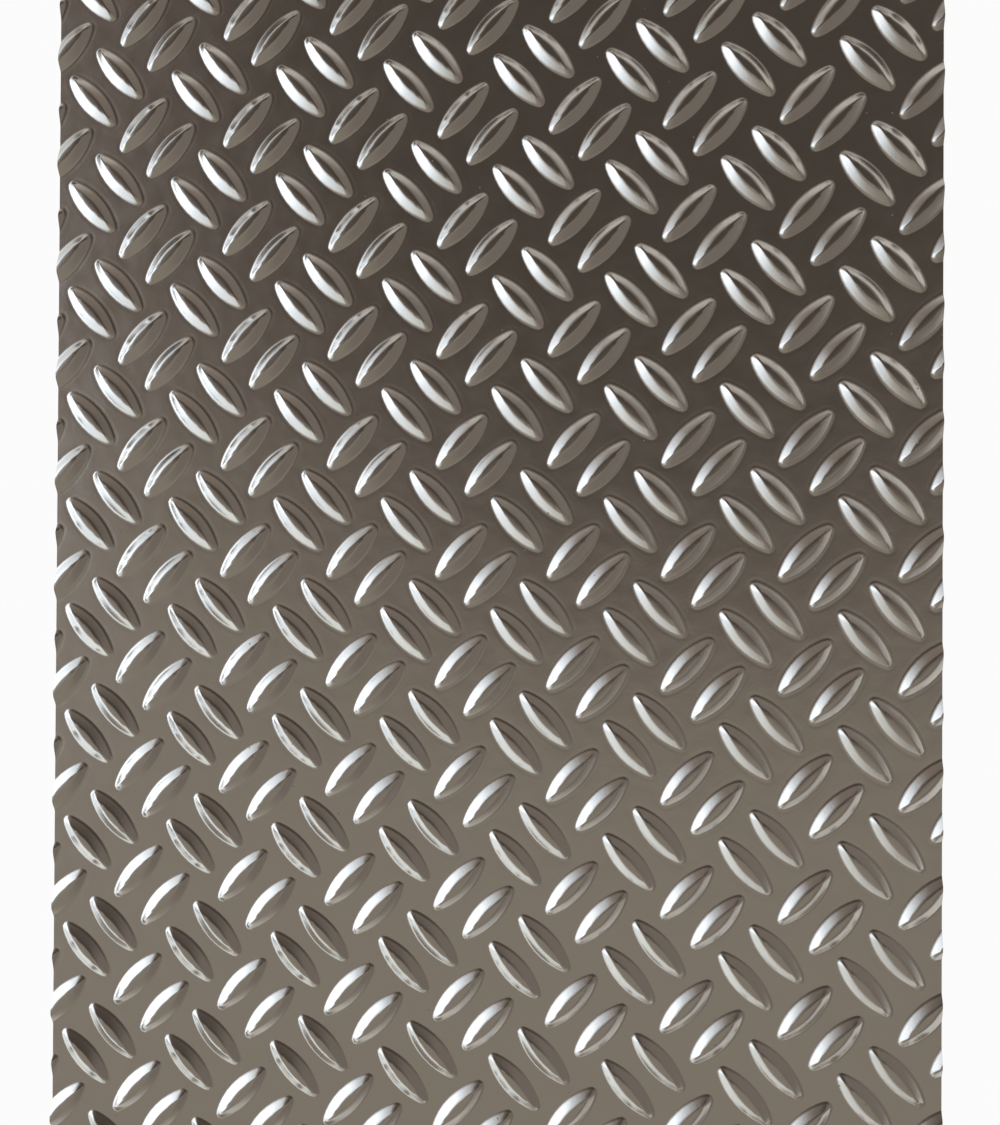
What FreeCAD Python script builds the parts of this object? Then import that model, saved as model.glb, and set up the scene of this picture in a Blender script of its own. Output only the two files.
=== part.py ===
"""Embossed aluminium sheet: thin flat stock pressed with pairs of lens-shaped ribs.

Each rib stands up on the face and shows as a dent in the back. Pairs of ribs that
fall to the right and pairs that rise to the right alternate like the squares of a
chessboard. The pattern is pressed into wider stock, which is then sheared to size,
so the sheet's edges run straight through it.

Frame, in millimetres: X across the sheet, Y along it, Z up out of the embossed
face. The origin is the middle of the back face.
"""
import FreeCAD, Part
import math
import os

NODE = "embossed_sheet"

# Driving dimensions: lengths in millimetres, the angle in degrees.
DIMENSIONS = {
    "sheet_width": 200.0,    # along X
    "sheet_length": 300.0,   # along Y
    "gauge": 0.8,            # thickness of the flat stock
    "pitch_across": 25.13,   # the pattern repeats along X
    "pitch_along": 24.8,     # the pattern repeats along Y
    "first_pair_x": 11.5,    # first falling pair's centre, in from the left edge
    "first_pair_y": 14.3,    # first falling pair's centre, in from the near edge
    "rib_spacing": 9.0,      # between the two ribs of a pair
    "rib_angle": 47.0,       # between a rib and the X axis
    "rib_length": 16.4,      # tip to tip at the foot
    "rib_width": 5.4,        # across the middle of the foot
    "rib_height": 1.4,       # crest above the face
    "flank_run": 2.1,        # how far the flanks lean in, from foot to crest
    "dent_inset": 0.15,      # the dent's mouth lies this far inside the rib's foot
}

doc = FreeCAD.newDocument(NODE)
sheet = doc.addObject("Spreadsheet::Sheet", "Sizes")
for row, (alias, value) in enumerate(DIMENSIONS.items(), start=1):
    sheet.set(f"A{row}", alias)
    sheet.set(f"B{row}", str(value))
    sheet.setAlias(f"B{row}", alias)
doc.recompute()
size = {alias: float(sheet.get(alias)) for alias in DIMENSIONS}


def slab(name, width, length, height):
    """A flat block whose middle is over the origin. Its sizes are expressions."""
    block = doc.addObject("Part::Box", name)
    block.setExpression("Length", width)
    block.setExpression("Width", length)
    block.setExpression("Height", height)
    block.setExpression("Placement.Base.x", f"-({width}) / 2")
    block.setExpression("Placement.Base.y", f"-({length}) / 2")
    return block


def flank(name, foot_radius, off_axis, base):
    """A cone frustum as high as a rib: its wall is the flank along one side of the rib."""
    cone = doc.addObject("Part::Cone", name)
    cone.setExpression("Radius1", foot_radius)
    cone.setExpression("Radius2", f"{foot_radius} - Sizes.flank_run")
    cone.setExpression("Height", "Sizes.rib_height")
    cone.setExpression("Placement.Base.y", off_axis)
    cone.setExpression("Placement.Base.z", base)
    return cone


def lens(name, base, inset):
    """A rib's form, lying along X: what two wide cones, one from each side, have in common."""
    side_radius = "(Sizes.rib_length ^ 2 + Sizes.rib_width ^ 2) / (4 * Sizes.rib_width)"
    off_axis = f"({side_radius} - Sizes.rib_width / 2)"
    foot_radius = f"{side_radius} - {inset}"
    form = doc.addObject("Part::Common", name)
    form.Base = flank(f"{name}FarFlank", foot_radius, f"-{off_axis}", base)
    form.Tool = flank(f"{name}NearFlank", foot_radius, off_axis, base)
    return form


def rib_places():
    """The placement of each rib that reaches the sheet, pair by pair."""
    half_width, half_length = size["sheet_width"] / 2, size["sheet_length"] / 2
    reach = size["rib_length"] / 2
    columns = math.ceil(size["sheet_width"] / size["pitch_across"]) + 1
    rows = math.ceil(size["sheet_length"] / size["pitch_along"]) + 1
    places = []
    # Rising pairs fill the gaps between falling ones, half a pitch before them each way.
    for slope, shift in ((-1, 0.0), (1, -0.5)):
        angle = slope * math.radians(size["rib_angle"])
        turn = FreeCAD.Rotation(FreeCAD.Vector(0, 0, 1), math.degrees(angle))
        for column in range(columns):
            for row in range(rows):
                pair_x = size["first_pair_x"] - half_width + (column + shift) * size["pitch_across"]
                pair_y = size["first_pair_y"] - half_length + (row + shift) * size["pitch_along"]
                for apart in (-size["rib_spacing"] / 2, size["rib_spacing"] / 2):
                    x = pair_x - apart * math.sin(angle)
                    y = pair_y + apart * math.cos(angle)
                    if abs(x) < half_width + reach and abs(y) < half_length + reach:
                        places.append(FreeCAD.Placement(FreeCAD.Vector(x, y, 0), turn))
    return places


def pattern(form, places):
    """Copies of a form's solid, one at each place."""
    copies = []
    for place in places:
        copy = form.Shape.Solids[0].copy()
        copy.Placement = place.multiply(copy.Placement)
        copies.append(copy)
    return copies


margin = "3 * Sizes.rib_length"
stock = slab("Stock", f"Sizes.sheet_width + {margin}", f"Sizes.sheet_length + {margin}", "Sizes.gauge")
sheared = slab("ShearedOutline", "Sizes.sheet_width", "Sizes.sheet_length",
               "Sizes.gauge + 2 * Sizes.rib_height")
rib = lens("Rib", "Sizes.gauge", "0")
dent = lens("Dent", "0", "Sizes.dent_inset")
doc.recompute()

places = rib_places()
pressed = stock.Shape.fuse(pattern(rib, places)).cut(pattern(dent, places))
embossed = doc.addObject("Part::Feature", "EmbossedSheet")
embossed.Label = NODE
embossed.Shape = pressed.common(sheared.Shape).Solids[0]
embossed.Placement = FreeCAD.Placement()
doc.recompute()

for item in doc.Objects:
    if "Invalid" in item.State or "Error" in item.State:
        raise RuntimeError(f"{item.Name} failed: {item.State}")
if embossed.Shape.isNull() or not embossed.Shape.isValid():
    raise RuntimeError(f"{NODE} has no valid shape")

os.makedirs("parts", exist_ok=True)
embossed.Shape.exportStep(f"parts/{NODE}.step")
print(f"{NODE}: {len(places)} ribs, {len(embossed.Shape.Faces)} faces, {embossed.Shape.Volume:.0f} mm3")
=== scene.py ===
"""Looks of the embossed aluminium sheet: a finely meshed sheet, its bright metal and a plain studio."""
import math

import bmesh
import bpy
import numpy as np
from mathutils import Matrix, Vector
from mathutils.geometry import delaunay_2d_cdt


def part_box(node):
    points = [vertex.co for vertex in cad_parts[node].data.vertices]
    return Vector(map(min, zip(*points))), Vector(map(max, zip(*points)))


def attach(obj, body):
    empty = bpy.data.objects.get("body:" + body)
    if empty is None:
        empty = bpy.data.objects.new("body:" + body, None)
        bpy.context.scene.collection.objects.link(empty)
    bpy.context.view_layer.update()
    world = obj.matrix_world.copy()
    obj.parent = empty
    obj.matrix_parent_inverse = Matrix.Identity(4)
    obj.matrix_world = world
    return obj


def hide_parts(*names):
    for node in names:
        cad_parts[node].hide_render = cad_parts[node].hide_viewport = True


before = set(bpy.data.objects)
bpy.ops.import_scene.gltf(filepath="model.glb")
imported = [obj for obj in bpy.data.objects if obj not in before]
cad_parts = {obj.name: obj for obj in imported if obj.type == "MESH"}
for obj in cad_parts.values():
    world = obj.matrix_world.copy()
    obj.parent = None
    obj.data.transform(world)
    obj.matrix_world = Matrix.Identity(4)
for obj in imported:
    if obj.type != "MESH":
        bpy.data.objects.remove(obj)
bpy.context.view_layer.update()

MM = 0.001
SHEET_NODE = "embossed_sheet"
LOW, HIGH = (np.array(corner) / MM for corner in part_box(SHEET_NODE))

# The pattern, in millimetres, at the places where part.py presses it. The tips are rounded here, so a rib
# is shorter than the pointed one in the solid.
GAUGE = 0.8
RIB_HEIGHT = HIGH[2] - LOW[2] - GAUGE
PITCH = np.array([25.13, 24.8])
FIRST_PAIR = np.array([11.5, 14.3])
RIB_SPACING = 9.0
RIB_ANGLE = math.radians(47.0)
RIB_LENGTH = 15.7
RIB_WIDTH = 5.4
TIP_RADIUS = 1.1
RIDGE_BLEND = 1.6        # how wide the ridge is rounded where the two flanks meet
DENT_INSET = 0.15

# Depth is how far a point lies inside the rib's foot; it is negative out on the land.
FOOT_SINK = (-1.3, -0.45)    # the press drags the land down a little round each foot
SINK_SLOPE = 0.045
FOOT_FILLET = (-0.5, 0.25)
CREST_ROUND = (1.5, 2.35)
FLANK_EASE = 0.12        # the flank is this much less steep at its top than at its foot
FACE_RINGS = (-1.3, -0.88, -0.45, -0.1, 0.3, 1.4, 1.8, 2.12)
BACK_RINGS = (-0.5, 0.1, 1.3)
FACE_POINTS = 24
BACK_POINTS = 14
MARGIN = 20.0            # the stock runs this far past the sheet before it is sheared
NEIGHBOURHOOD = RIB_LENGTH / 2 + 2.5   # a rib changes nothing farther from its centre than this
OVERHANG = RIB_LENGTH / 2 + 1.5        # a rib centred this far past an edge still reaches the sheet
OUT_ON_LAND = -9.0       # a depth well outside every rib

# The floor and the camera.
FLOOR_SIZE = 4.0         # metres
FLOOR_GAP = 0.02         # keeps the floor clear of the back face
FLOOR_GLOW = 0.96        # share of the floor that the camera sees as plain white
LENS = 38.4
EYE = Vector((40.379, -0.709, 265.524 + GAUGE))
AIM = Vector((4.972, 1.396, GAUGE))
ROLL = math.radians(0.297)

# Where the light of the room comes from.
WINDOW = (-0.955, 0.097, 0.28)
LOW_LEFT = (-0.877, -0.423, -0.227)
OVERHEAD = (0.02, 0.42, 0.9)


def smoothstep(low, high, value):
    t = np.clip((value - low) / (high - low), 0.0, 1.0)
    return t * t * (3.0 - 2.0 * t)


def lens_depth(u, v):
    """Depth inside a rib's foot at u along it and v across it: a pointed lens, grown by the tips' radius."""
    half_width, half_length = RIB_WIDTH / 2 - TIP_RADIUS, RIB_LENGTH / 2 - TIP_RADIUS
    side_radius = (half_length ** 2 + half_width ** 2) / (2 * half_width)
    off_axis = side_radius - half_width
    v = np.abs(v)
    reach = np.hypot(u, v + off_axis)
    near = side_radius - reach
    far = side_radius - np.hypot(u, v - off_axis)
    past_tip = side_radius * (v + off_axis) < off_axis * reach
    blend = RIDGE_BLEND * smoothstep(0.0, 1.0, near) + 1e-6
    share = np.clip(0.5 - 0.5 * (far - near) / blend, 0.0, 1.0)
    inside = near - blend * share ** 2
    return TIP_RADIUS + np.where(past_tip, -np.hypot(np.abs(u) - half_length, v), inside)


def section(sink_slope):
    """The rib's cross-section: depth, height and slope, from the land to the crest."""
    depth = np.linspace(FOOT_SINK[0], CREST_ROUND[1], 800)
    slope = smoothstep(*FOOT_FILLET, depth) * (1.0 - smoothstep(*CREST_ROUND, depth))
    slope *= 1.0 - FLANK_EASE * np.clip(depth / CREST_ROUND[0], 0.0, 1.0)
    across_sink = np.clip((depth - FOOT_SINK[0]) / (FOOT_SINK[1] - FOOT_SINK[0]), 0.0, 1.0)
    slope -= sink_slope * np.sin(math.pi * across_sink) ** 2
    step = depth[1] - depth[0]
    height = np.concatenate([[0.0], np.cumsum((slope[1:] + slope[:-1]) / 2 * step)])
    crest = np.interp(lens_depth(0.0, 0.0), depth, height)
    return depth, height * RIB_HEIGHT / crest, slope * RIB_HEIGHT / crest


FACE_SECTION = section(SINK_SLOPE)
BACK_SECTION = section(0.0)


def rib_places():
    """Centre and angle of each rib that reaches the sheet."""
    half = (HIGH - LOW)[:2] / 2
    counts = np.ceil(2 * half / PITCH).astype(int) + 1
    places = []
    for slope, shift in ((-1, 0.0), (1, -0.5)):
        angle = slope * RIB_ANGLE
        for column in range(counts[0]):
            for row in range(counts[1]):
                pair = FIRST_PAIR - half + (np.array([column, row]) + shift) * PITCH
                for apart in (-RIB_SPACING / 2, RIB_SPACING / 2):
                    centre = pair + apart * np.array([-math.sin(angle), math.cos(angle)])
                    if np.all(np.abs(centre) < half + OVERHANG):
                        places.append((centre[0], centre[1], angle))
    return np.array(places)


PLACES = rib_places()


def relief(points, inset, profile):
    """Height and upward normal of the pressed surface at each point."""
    depth = np.full(len(points), OUT_ON_LAND)
    gradient = np.zeros((len(points), 2))
    for x, y, angle in PLACES:
        near = np.nonzero(np.all(np.abs(points - (x, y)) < NEIGHBOURHOOD, axis=1))[0]
        if not len(near):
            continue
        cos, sin = math.cos(angle), math.sin(angle)
        dx, dy = (points[near] - (x, y)).T
        u, v = cos * dx + sin * dy, -sin * dx + cos * dy
        here = lens_depth(u, v) - inset
        tiny = 1e-4
        du = (lens_depth(u + tiny, v) - lens_depth(u - tiny, v)) / (2 * tiny)
        dv = (lens_depth(u, v + tiny) - lens_depth(u, v - tiny)) / (2 * tiny)
        deeper = here > depth[near]
        chosen = near[deeper]
        depth[chosen] = here[deeper]
        gradient[chosen, 0] = (cos * du - sin * dv)[deeper]
        gradient[chosen, 1] = (sin * du + cos * dv)[deeper]
    depths, heights, slopes = profile
    height = np.interp(depth, depths, heights)
    slope = np.interp(depth, depths, slopes)
    slope[depth <= depths[0]] = 0.0
    normal = np.column_stack([-gradient * slope[:, None], np.ones(len(points))])
    return height, normal / np.linalg.norm(normal, axis=1)[:, None]


def solve(function, target, low, high):
    """Where a falling function of one array meets the target, by halving."""
    low, high = np.array(low, float), np.array(high, float)
    for _ in range(40):
        middle = (low + high) / 2
        above = function(middle) > target
        low, high = np.where(above, middle, low), np.where(above, high, middle)
    return (low + high) / 2


def ring(depth, count):
    """Points round the line of equal depth, closer together towards the tips."""
    reach = float(solve(lambda u: lens_depth(u, 0.0), depth, 0.0, 14.0))
    turns = 2 * math.pi * np.arange(count) / count
    u = reach * np.cos(turns)
    v = solve(lambda across: lens_depth(u, across), depth, np.zeros(count), np.full(count, 6.0))
    v = np.where(np.abs(np.sin(turns)) < 1e-9, 0.0, v * np.sign(np.sin(turns)))
    return np.column_stack([u, v])


def pressed_surface(rings, count, inset):
    """Flat vertices and faces of the oversize pattern: rings on each rib, and the land between."""
    shapes = [ring(depth + inset, count) for depth in rings]
    local = np.concatenate(shapes)
    vertices, faces, outer = [], [], []
    for x, y, angle in PLACES:
        base = len(vertices) * len(local)
        cos, sin = math.cos(angle), math.sin(angle)
        vertices.append(local @ np.array([[cos, sin], [-sin, cos]]) + (x, y))
        for level in range(len(rings) - 1):
            a = base + level * count
            b = a + count
            for i in range(count):
                j = (i + 1) % count
                faces.append((a + i, a + j, b + j, b + i))
        top = base + (len(rings) - 1) * count
        faces.append((top, top + 1, top + count - 1))
        for i in range(1, count // 2 - 1):
            faces.append((top + i, top + i + 1, top + count - i - 1, top + count - i))
        faces.append((top + count // 2 - 1, top + count // 2, top + count // 2 + 1))
        outer.append(list(range(base, base + count)))
    corners = (HIGH[:2] - LOW[:2]) / 2 + MARGIN
    vertices.append(corners * [(-1, -1), (1, -1), (1, 1), (-1, 1)])
    vertices = np.concatenate(vertices)
    faces += land_faces(vertices, np.array(outer))
    return vertices, faces


def land_faces(vertices, loops):
    """Triangles of the land between the ribs' outer rings, out to the last four vertices."""
    owner = np.full(len(vertices), -1)
    count = loops.shape[1]
    owner[loops] = np.arange(len(loops))[:, None]
    used = np.concatenate([loops.ravel(), np.arange(len(vertices) - 4, len(vertices))])
    edges = [(first + i, first + (i + 1) % count)
             for first in range(0, loops.size, count) for i in range(count)]
    result = delaunay_2d_cdt([Vector(vertices[index]) for index in used], edges, [], 0, 1e-6, True)
    back = [used[sources[0]] for sources in result[3]]
    triangles = [tuple(back[index] for index in face) for face in result[2]]
    return [triangle for triangle in triangles
            if owner[triangle[0]] < 0 or len({owner[corner] for corner in triangle}) > 1]


def clipped_surface(rings, count, inset, lift, profile):
    """One side of the sheet, trimmed to its edges: points, faces and upward normals."""
    flat, faces = pressed_surface(rings, count, inset)
    height, _ = relief(flat, inset, profile)
    mesh = bpy.data.meshes.new("side")
    mesh.from_pydata(np.column_stack([flat, height + lift]).tolist(), [], faces)
    bm = bmesh.new()
    bm.from_mesh(mesh)
    bpy.data.meshes.remove(mesh)
    for axis in range(2):
        for limit, outward in ((LOW[axis], -1.0), (HIGH[axis], 1.0)):
            plane, normal = [0.0, 0.0, 0.0], [0.0, 0.0, 0.0]
            plane[axis], normal[axis] = limit, outward
            everything = bm.verts[:] + bm.edges[:] + bm.faces[:]
            bmesh.ops.bisect_plane(bm, geom=everything, dist=1e-5, plane_co=plane, plane_no=normal,
                                   clear_outer=True)
    bm.verts.index_update()
    points = np.array([vertex.co[:] for vertex in bm.verts])
    for axis in range(2):
        for limit in (LOW[axis], HIGH[axis]):
            points[np.abs(points[:, axis] - limit) < 1e-4, axis] = limit
    faces = []
    for face in bm.faces:
        corners = [vertex.index for vertex in face.verts]
        faces.append(corners if face.normal.z > 0 else corners[::-1])
    bm.free()
    return points, faces, relief(points[:, :2], inset, profile)[1]


def wall_faces(face_points, back_points, offset):
    """Triangles of the four sheared edges, from the back's outline up to the face's."""
    faces = []
    for axis in range(2):
        along = 1 - axis
        for limit, outward in ((LOW[axis], -1), (HIGH[axis], 1)):
            rows = []
            for points, shift in ((back_points, offset), (face_points, 0)):
                on_edge = np.nonzero(points[:, axis] == limit)[0]
                on_edge = on_edge[np.argsort(points[on_edge, along])]
                rows.append([(points[index, along], index + shift) for index in on_edge])
            below, above = rows
            i = j = 0
            flip = (outward > 0) != (axis == 0)
            while i < len(below) - 1 or j < len(above) - 1:
                more_below = i < len(below) - 1
                step_below = j == len(above) - 1 or (more_below and below[i + 1][0] <= above[j + 1][0])
                if step_below:
                    triangle = [below[i][1], below[i + 1][1], above[j][1]]
                    i += 1
                else:
                    triangle = [below[i][1], above[j + 1][1], above[j][1]]
                    j += 1
                faces.append(triangle[::-1] if flip else triangle)
    return faces


def build_sheet(metal, edge_metal):
    """The whole sheet as one closed mesh, shaded by its true curvature."""
    top, top_faces, top_normals = clipped_surface(
        FACE_RINGS, FACE_POINTS, 0.0, GAUGE, FACE_SECTION)
    bottom, bottom_faces, bottom_normals = clipped_surface(
        BACK_RINGS, BACK_POINTS, DENT_INSET, 0.0, BACK_SECTION)
    offset = len(top)
    walls = wall_faces(top, bottom, offset)
    under = [[corner + offset for corner in reversed(face)] for face in bottom_faces]
    mesh = bpy.data.meshes.new(SHEET_NODE)
    points = np.concatenate([top, bottom]) + [0.0, 0.0, LOW[2]]
    mesh.from_pydata((points * MM).tolist(), [], top_faces + under + walls)
    normals = [top_normals[corner] for face in top_faces for corner in face]
    normals += [-bottom_normals[corner - offset] for face in under for corner in face]
    for number in range(len(top_faces) + len(under), len(mesh.polygons)):
        normals += [mesh.polygons[number].normal[:]] * 3
        mesh.polygons[number].material_index = 1
    mesh.materials.append(metal)
    mesh.materials.append(edge_metal)
    mesh.normals_split_custom_set(np.array(normals).tolist())
    sheet = bpy.data.objects.new("pressed_sheet", mesh)
    bpy.context.scene.collection.objects.link(sheet)
    return sheet


# ---- materials

def node(tree, kind, **settings):
    """A new node with its settings and its unlinked inputs filled in."""
    item = tree.nodes.new(kind)
    for name, value in settings.items():
        if hasattr(item, name):
            setattr(item, name, value)
        else:
            item.inputs[name.replace("_", " ")].default_value = value
    return item


def ranged(tree, source, low, high, to_low=0.0, to_high=1.0, smooth=False):
    """A value carried from one range to another and held inside it."""
    item = node(tree, "ShaderNodeMapRange", interpolation_type="SMOOTHSTEP" if smooth else "LINEAR")
    for name, value in (("From Min", low), ("From Max", high), ("To Min", to_low), ("To Max", to_high)):
        item.inputs[name].default_value = value
    tree.links.new(source, item.inputs["Value"])
    return item.outputs["Result"]


def stretched(tree, place, *scale):
    item = node(tree, "ShaderNodeVectorMath", operation="MULTIPLY")
    item.inputs[1].default_value = scale
    tree.links.new(place, item.inputs[0])
    return item.outputs[0]


def bump(tree, height, depth, under=None):
    """A bump of a height that runs from 0 to 1, as deep as given in millimetres."""
    item = node(tree, "ShaderNodeBump", Strength=1.0, Distance=depth * MM)
    tree.links.new(height, item.inputs["Height"])
    if under:
        tree.links.new(under, item.inputs["Normal"])
    return item.outputs["Normal"]


def bright_aluminium():
    """Bright rolled aluminium: a soft mirror with rolling marks, orange peel, slow swell, haze and dust."""
    metal = bpy.data.materials.new("bright_aluminium")
    metal.use_nodes = True
    tree = metal.node_tree
    shader = tree.nodes["Principled BSDF"]
    shader.inputs["Metallic"].default_value = 1.0
    shader.inputs["Base Color"].default_value = (0.86, 0.85, 0.83, 1.0)
    place = node(tree, "ShaderNodeTexCoord").outputs["Object"]

    def noise(vector, scale, detail, roughness=0.5):
        item = node(tree, "ShaderNodeTexNoise", Scale=scale, Detail=detail, Roughness=roughness)
        tree.links.new(vector, item.inputs["Vector"])
        return item.outputs["Fac"]

    haze = ranged(tree, noise(place, 160.0, 8.0, 0.7), 0.35, 0.65, 0.15, 0.22)
    tree.links.new(haze, shader.inputs["Roughness"])
    rolled = noise(stretched(tree, place, 2600.0, 60.0, 60.0), 1.0, 3.0)
    peel = noise(place, 1500.0, 3.0, 0.6)
    swell = noise(place, 150.0, 1.0)
    normal = bump(tree, rolled, 0.0016)
    normal = bump(tree, peel, 0.01, normal)
    normal = bump(tree, swell, 0.1, normal)
    tree.links.new(normal, shader.inputs["Normal"])

    cells = node(tree, "ShaderNodeTexVoronoi", voronoi_dimensions="2D", Scale=190.0)
    tree.links.new(place, cells.inputs["Vector"])
    chance = node(tree, "ShaderNodeSeparateColor")
    tree.links.new(cells.outputs["Color"], chance.inputs["Color"])
    size = ranged(tree, chance.outputs["Red"], 0.9, 1.0, 0.0, 0.04)
    speck = node(tree, "ShaderNodeMath", operation="LESS_THAN")
    tree.links.new(cells.outputs["Distance"], speck.inputs[0])
    tree.links.new(size, speck.inputs[1])
    dust = node(tree, "ShaderNodeBsdfDiffuse", Color=(0.5, 0.46, 0.4, 1.0))
    mix = node(tree, "ShaderNodeMixShader")
    tree.links.new(speck.outputs[0], mix.inputs["Fac"])
    tree.links.new(shader.outputs[0], mix.inputs[1])
    tree.links.new(dust.outputs[0], mix.inputs[2])
    tree.links.new(mix.outputs[0], tree.nodes["Material Output"].inputs["Surface"])
    return metal


def sheared_aluminium():
    """The cut edge: bare metal, duller than the face."""
    metal = bpy.data.materials.new("sheared_aluminium")
    metal.use_nodes = True
    shader = metal.node_tree.nodes["Principled BSDF"]
    shader.inputs["Metallic"].default_value = 1.0
    shader.inputs["Base Color"].default_value = (0.8, 0.79, 0.77, 1.0)
    shader.inputs["Roughness"].default_value = 0.38
    return metal


def pale_floor():
    """A plain pale floor that shows near white from above and is clear from below."""
    paint = bpy.data.materials.new("pale_floor")
    paint.use_nodes = True
    tree = paint.node_tree
    shader = tree.nodes["Principled BSDF"]
    shader.inputs["Base Color"].default_value = (0.9, 0.9, 0.9, 1.0)
    shader.inputs["Roughness"].default_value = 0.9
    output = tree.nodes["Material Output"]
    seen = node(tree, "ShaderNodeLightPath")
    glow = node(tree, "ShaderNodeEmission", Color=(1, 1, 1, 1), Strength=1.0)
    mix = node(tree, "ShaderNodeMixShader")
    share = node(tree, "ShaderNodeMath", operation="MULTIPLY")
    share.inputs[1].default_value = FLOOR_GLOW
    tree.links.new(seen.outputs["Is Camera Ray"], share.inputs[0])
    tree.links.new(share.outputs[0], mix.inputs["Fac"])
    tree.links.new(shader.outputs[0], mix.inputs[1])
    tree.links.new(glow.outputs[0], mix.inputs[2])
    side = node(tree, "ShaderNodeNewGeometry")
    clear = node(tree, "ShaderNodeBsdfTransparent")
    one_sided = node(tree, "ShaderNodeMixShader")
    tree.links.new(side.outputs["Backfacing"], one_sided.inputs["Fac"])
    tree.links.new(mix.outputs[0], one_sided.inputs[1])
    tree.links.new(clear.outputs[0], one_sided.inputs[2])
    tree.links.new(one_sided.outputs[0], output.inputs["Surface"])
    return paint


def studio_world():
    """A dim room round the sheet; the camera itself sees plain white."""
    world = bpy.data.worlds.new("studio")
    world.use_nodes = True
    tree = world.node_tree
    background = tree.nodes["Background"]
    place = node(tree, "ShaderNodeTexCoord")
    parts = node(tree, "ShaderNodeSeparateXYZ")
    tree.links.new(place.outputs["Generated"], parts.inputs[0])

    def blended(fac, first, second):
        item = node(tree, "ShaderNodeMix", data_type="RGBA")
        tree.links.new(fac, item.inputs["Factor"])
        for socket, colour in ((item.inputs[6], first), (item.inputs[7], second)):
            if isinstance(colour, tuple):
                socket.default_value = (*colour, 1.0)
            else:
                tree.links.new(colour, socket)
        return item.outputs[2]

    def facing(low, high, direction, most=1.0):
        item = node(tree, "ShaderNodeVectorMath", operation="DOT_PRODUCT")
        item.inputs[1].default_value = Vector(direction).normalized()
        tree.links.new(place.outputs["Generated"], item.inputs[0])
        return ranged(tree, item.outputs["Value"], low, high, 0.0, most, smooth=True)

    # A taupe room, paler low down, with broad light from the left and a dark patch overhead.
    far = ranged(tree, parts.outputs["Y"], -0.3, 0.35, smooth=True)
    rightward = ranged(tree, parts.outputs["X"], 0.18, 0.52, smooth=True)
    low_down = ranged(tree, parts.outputs["Z"], 0.1, 0.36, 1.0, 0.0, smooth=True)
    ceiling = blended(far, (0.23, 0.199, 0.162), (0.188, 0.15, 0.122))
    right = blended(rightward, ceiling, (0.168, 0.142, 0.12))
    horizon = blended(low_down, right, (0.55, 0.53, 0.49))
    side = blended(facing(0.42, 0.98, LOW_LEFT), horizon, (0.86, 0.88, 0.86))
    halo = blended(facing(0.69, 0.98, WINDOW), side, (0.9, 0.97, 1.04))
    lit = blended(facing(0.85, 1.13, WINDOW), halo, (2.15, 2.25, 2.35))
    room = blended(facing(0.79, 0.99, OVERHEAD, most=0.68), lit, (0.0, 0.0, 0.0))
    seen = node(tree, "ShaderNodeLightPath")
    shown = blended(seen.outputs["Is Camera Ray"], room, (1.0, 1.0, 1.0))
    tree.links.new(shown, background.inputs["Color"])
    bpy.context.scene.world = world


def build_floor():
    half = FLOOR_SIZE / 2
    mesh = bpy.data.meshes.new("floor")
    corners = [(-half, -half, 0), (half, -half, 0), (half, half, 0), (-half, half, 0)]
    mesh.from_pydata(corners, [], [(0, 1, 2, 3)])
    floor = bpy.data.objects.new("floor", mesh)
    bpy.context.scene.collection.objects.link(floor)
    floor.location.z = (LOW[2] - FLOOR_GAP) * MM
    # Only the camera sees the floor, so light reaches the back face, and the metal doesn't mirror the floor.
    floor.visible_diffuse = floor.visible_glossy = floor.visible_shadow = False
    mesh.materials.append(pale_floor())
    return floor


def build_camera():
    data = bpy.data.cameras.new("camera")
    data.lens = LENS
    camera = bpy.data.objects.new("camera", data)
    bpy.context.scene.collection.objects.link(camera)
    away = (EYE - AIM).normalized()
    side = Vector((0, 1, 0)).cross(away).normalized()
    up = away.cross(side)
    turn = Matrix((side, up, away)).transposed() @ Matrix.Rotation(ROLL, 3, "Z")
    camera.matrix_world = Matrix.Translation(EYE * MM) @ turn.to_4x4()
    data.clip_start = 0.001
    bpy.context.scene.camera = camera


sheet = build_sheet(bright_aluminium(), sheared_aluminium())
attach(sheet, "root")
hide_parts(SHEET_NODE)
build_floor()
studio_world()
build_camera()
bpy.context.scene.view_settings.view_transform = "Standard"
